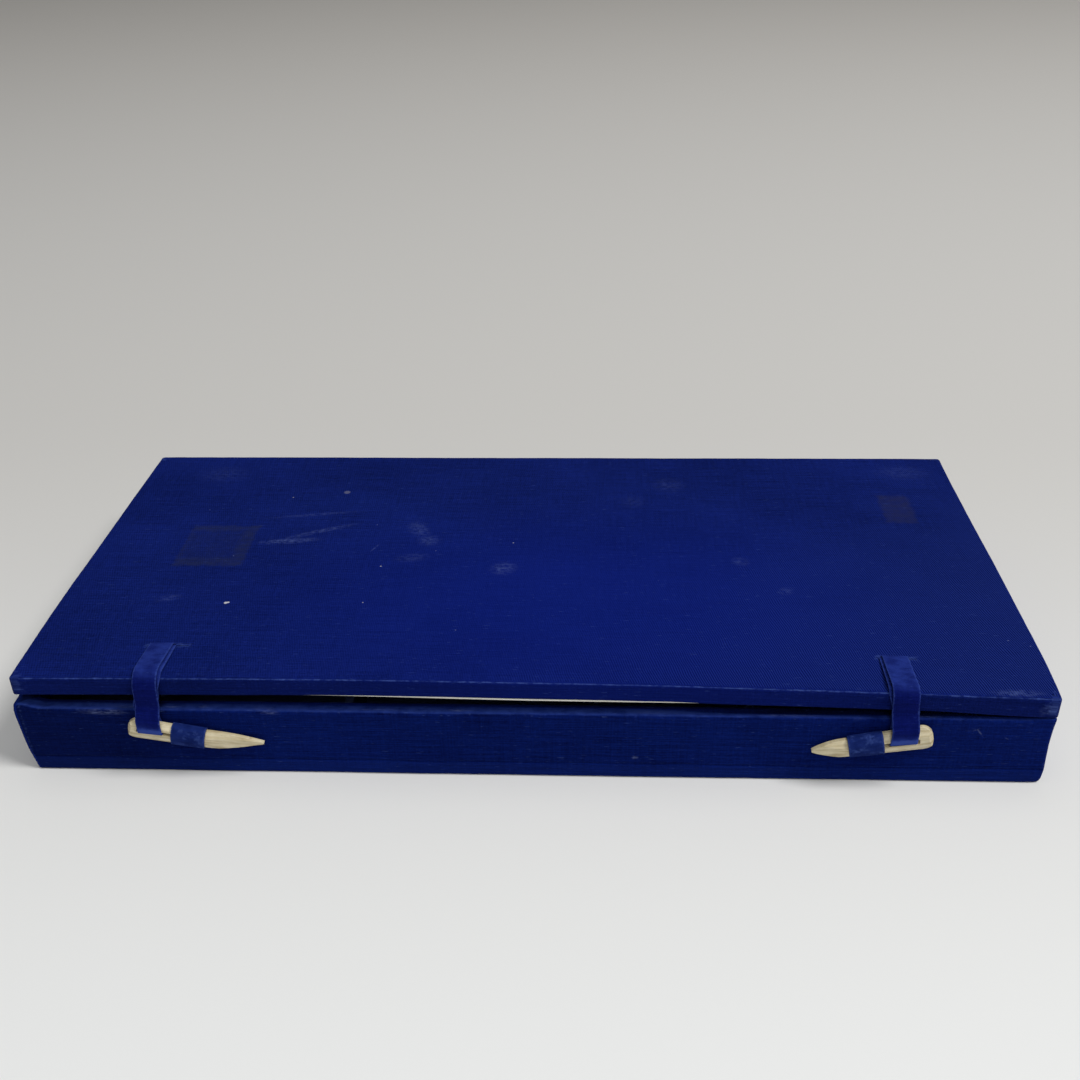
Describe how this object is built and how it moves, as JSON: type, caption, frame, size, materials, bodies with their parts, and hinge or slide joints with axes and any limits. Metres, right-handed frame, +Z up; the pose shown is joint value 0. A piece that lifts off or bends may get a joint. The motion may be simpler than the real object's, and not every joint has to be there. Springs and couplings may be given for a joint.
{
  "type": "drafting instrument case",
  "caption": "Flat cloth-covered board case with a cloth-hinged lid, divided paper-lined tray, and bone peg clasps on cloth straps that push through bands on the front wall.",
  "frame": {"origin": "centre of the flat underside", "axes": "+X to the right along the front, +Y from the front towards the hinge, +Z up"},
  "size_m": [0.33, 0.1629, 0.0398],
  "materials": {
    "board": "plain grey-brown board",
    "cloth": "dark blue book cloth, worn at the edges",
    "strap": "blue cloth strip, a little lighter",
    "lining": "matt dark blue paper",
    "card": "matt white card",
    "divider": "board strip covered in dark blue paper",
    "bone": "polished cream bone"
  },
  "bodies": {
    "base": {"base_board": "board", "base_cloth": "cloth", "front_wall_board": "board", "back_wall_board": "board", "left_end_board": "board", "right_end_board": "board", "wall_cloth": "cloth", "base_lining": "lining", "front_lining": "lining", "back_lining": "lining", "left_lining": "lining", "right_lining": "lining", "rear_divider": "divider", "front_divider": "divider", "left_cross_divider": "divider", "right_cross_divider": "divider", "middle_cross_divider": "divider", "left_band": "strap", "right_band": "strap", "hinge_cloth": "cloth"},
    "lid": {"lid_board": "board", "lid_cloth": "cloth", "lid_lining": "card", "left_strap": "strap", "right_strap": "strap"},
    "left_clasp": {"left_clasp": "bone"},
    "right_clasp": {"right_clasp": "bone"}
  },
  "joints": [
    {"name": "lid_hinge", "type": "hinge", "parent": "base", "child": "lid", "pos_m": [0, 0.079, 0.02955], "axis": [-1, 0, 0], "range_deg": [0, 180], "deforming": ["hinge_cloth"]},
    {"name": "left_clasp_slide", "type": "slide", "parent": "lid", "child": "left_clasp", "axis": [-0.9823, 0, 0.1874], "range_m": [0, 0.0297], "deforming": ["left_strap"]},
    {"name": "right_clasp_slide", "type": "slide", "parent": "lid", "child": "right_clasp", "axis": [0.9823, 0, 0.1874], "range_m": [0, 0.0224], "deforming": ["right_strap"]}
  ]
}
